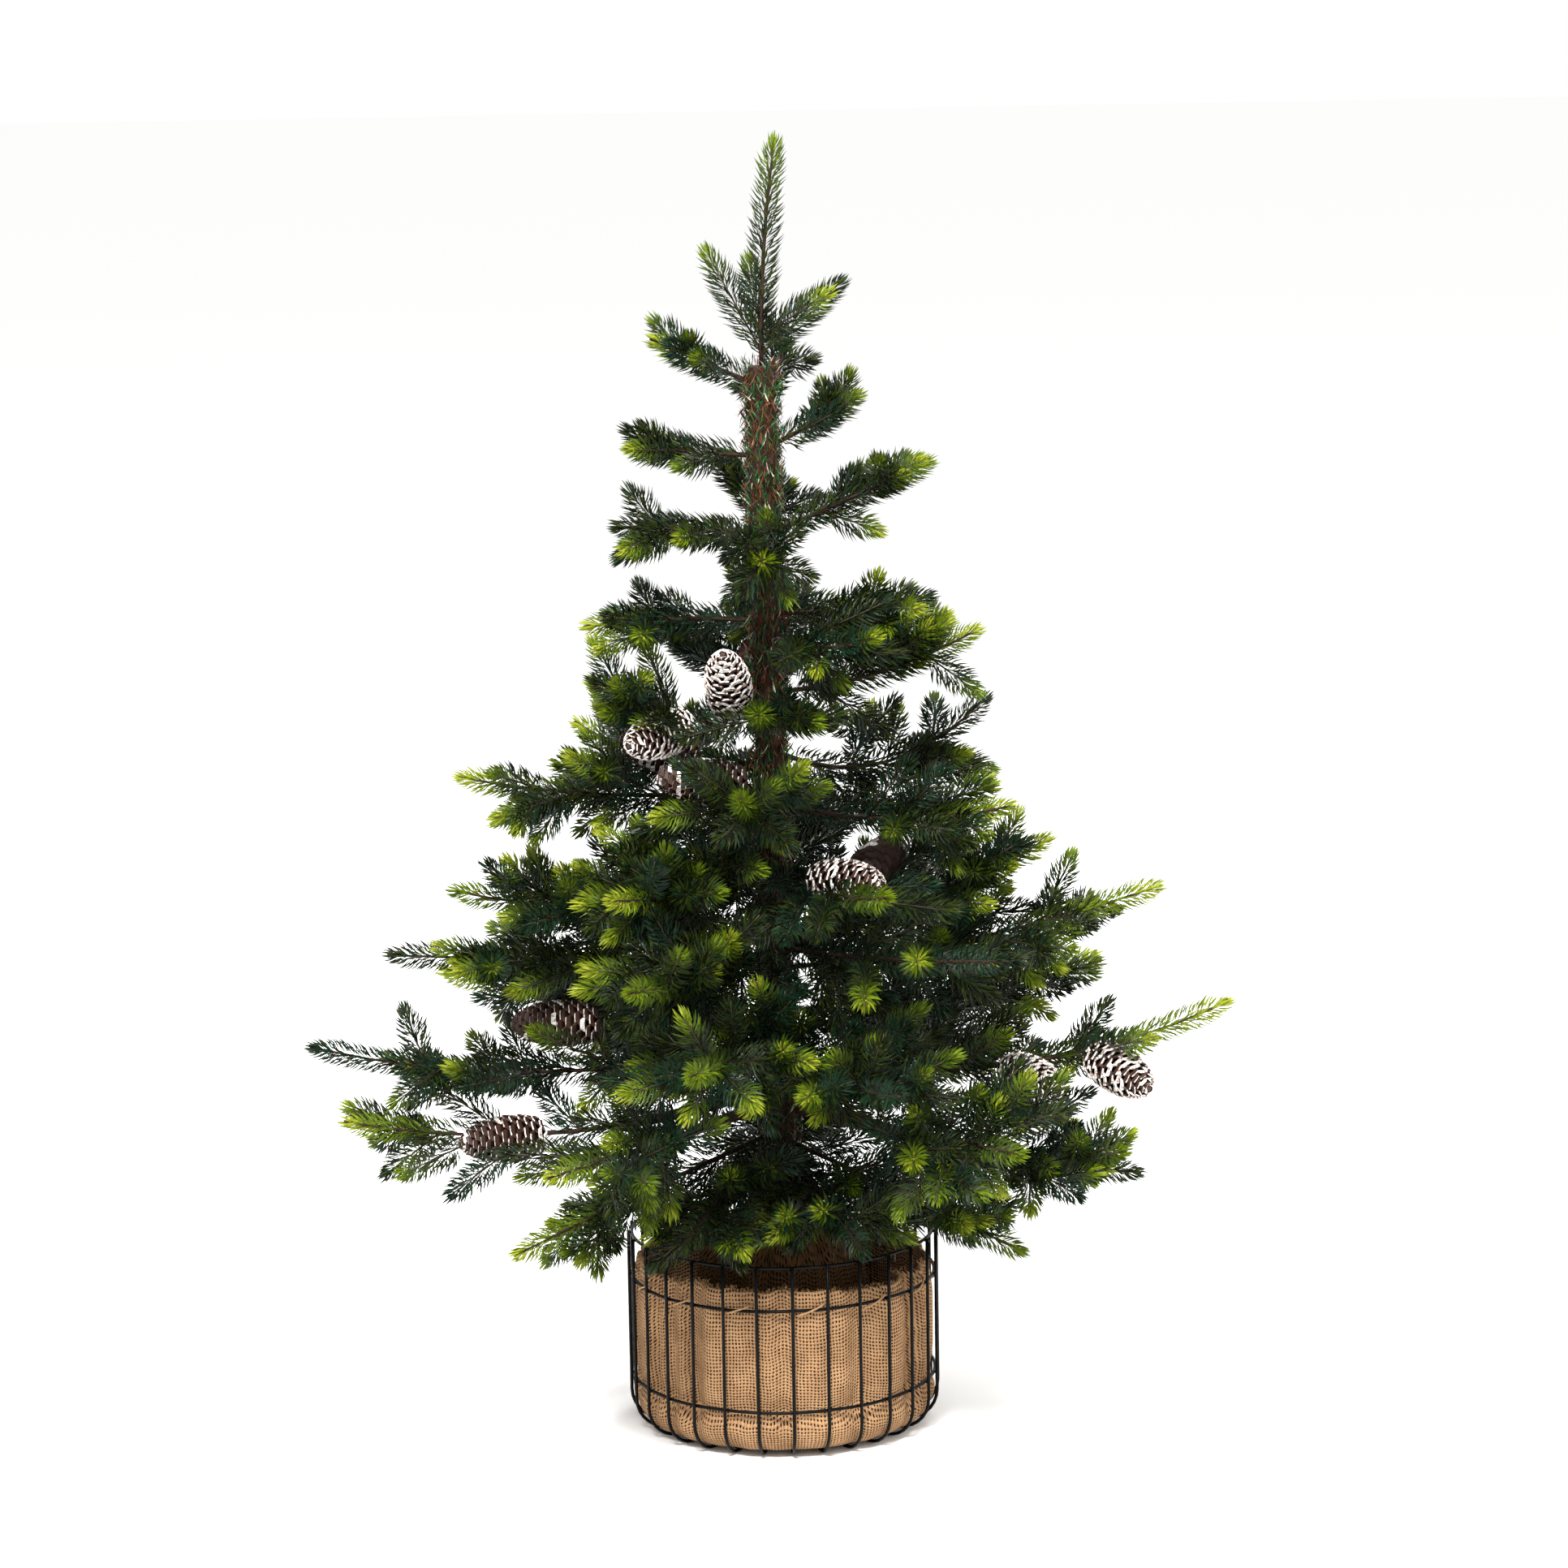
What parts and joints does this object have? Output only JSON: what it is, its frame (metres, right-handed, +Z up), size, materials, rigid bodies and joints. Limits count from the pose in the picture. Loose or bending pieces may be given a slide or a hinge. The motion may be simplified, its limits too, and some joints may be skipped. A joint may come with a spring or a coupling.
{
  "type": "artificial potted spruce tree",
  "caption": "Table-top artificial spruce with a tinsel-wrapped pole, tiers of needle sprays and frosted cones, standing in a wire basket lined with burlap.",
  "frame": {"origin": "middle of the flat underside of the basket and its liner, on the surface the tree stands on", "axes": "+Z up along the trunk, -Y towards the front, +X to the viewer's right"},
  "size_m": [0.6408, 0.5218, 0.899],
  "materials": {
    "needles": "moulded polyethylene needles, satin, blue-green",
    "needle_tips": "moulded polyethylene needles, satin, yellow-green at the tips",
    "twigs": "thin moulded stems, satin, orange-brown",
    "trunk_wrap": "wrapped pole, brown fibrous tape",
    "tinsel": "short brown and green tinsel strips, slightly glossy",
    "cones": "dry cone scales, dark red-brown, their lips painted chalky white",
    "basket_wire": "black powder coat, satin",
    "burlap": "plain-woven jute, coarse and matt",
    "twine": "two-ply jute twine, matt"
  },
  "bodies": {
    "root": {"basket_wires": "basket_wire", "bough_11_back_left": "trunk_wrap", "bough_11_back_right": "trunk_wrap", "bough_11_front_left": "trunk_wrap", "bough_11_front_right": "trunk_wrap", "bough_11_left": "trunk_wrap", "bough_11_right": "trunk_wrap", "burlap_ball": "burlap", "burlap_liner": "burlap", "foliage_01_leader": "needles", "foliage_02_back": "needles", "foliage_02_left": "needles", "foliage_03_left": "needles", "foliage_03_right": "needles", "foliage_04_back": "needles", "foliage_04_front": "needles", "foliage_04_left": "needles", "foliage_04_right": "needles", "foliage_05_back": "needles", "foliage_05_front_right": "needles", "foliage_05_left": "needles", "foliage_05_right": "needles", "foliage_06_back": "needles", "foliage_06_front": "needles", "foliage_06_left": "needles", "foliage_06_right": "needles", "foliage_07_back_left": "needles", "foliage_07_back_right": "needles", "foliage_07_front": "needles", "foliage_07_left": "needles", "foliage_07_right": "needles", "foliage_08_back": "needles", "foliage_08_front_left": "needles", "foliage_08_front_right": "needles", "foliage_08_left": "needles", "foliage_08_right": "needles", "foliage_09_back_left": "needles", "foliage_09_back_right": "needles", "foliage_09_front_left": "needles", "foliage_09_front_right": "needles", "foliage_09_left": "needles", "foliage_09_right": "needles", "foliage_10_back_left": "needles", "foliage_10_back_right": "needles", "foliage_10_front_left": "needles", "foliage_10_front_right": "needles", "foliage_10_left": "needles", "foliage_10_right": "needles", "foliage_11_back_left": "needles", "foliage_11_back_right": "needles", "foliage_11_front_left": "needles", "foliage_11_front_right": "needles", "foliage_11_left": "needles", "foliage_11_right": "needles", "foliage_12_back": "needles", "foliage_12_front_left": "needles", "foliage_12_front_right": "needles", "foliage_12_left": "needles", "foliage_12_right": "needles", "trunk": "trunk_wrap"}
  },
  "joints": []
}
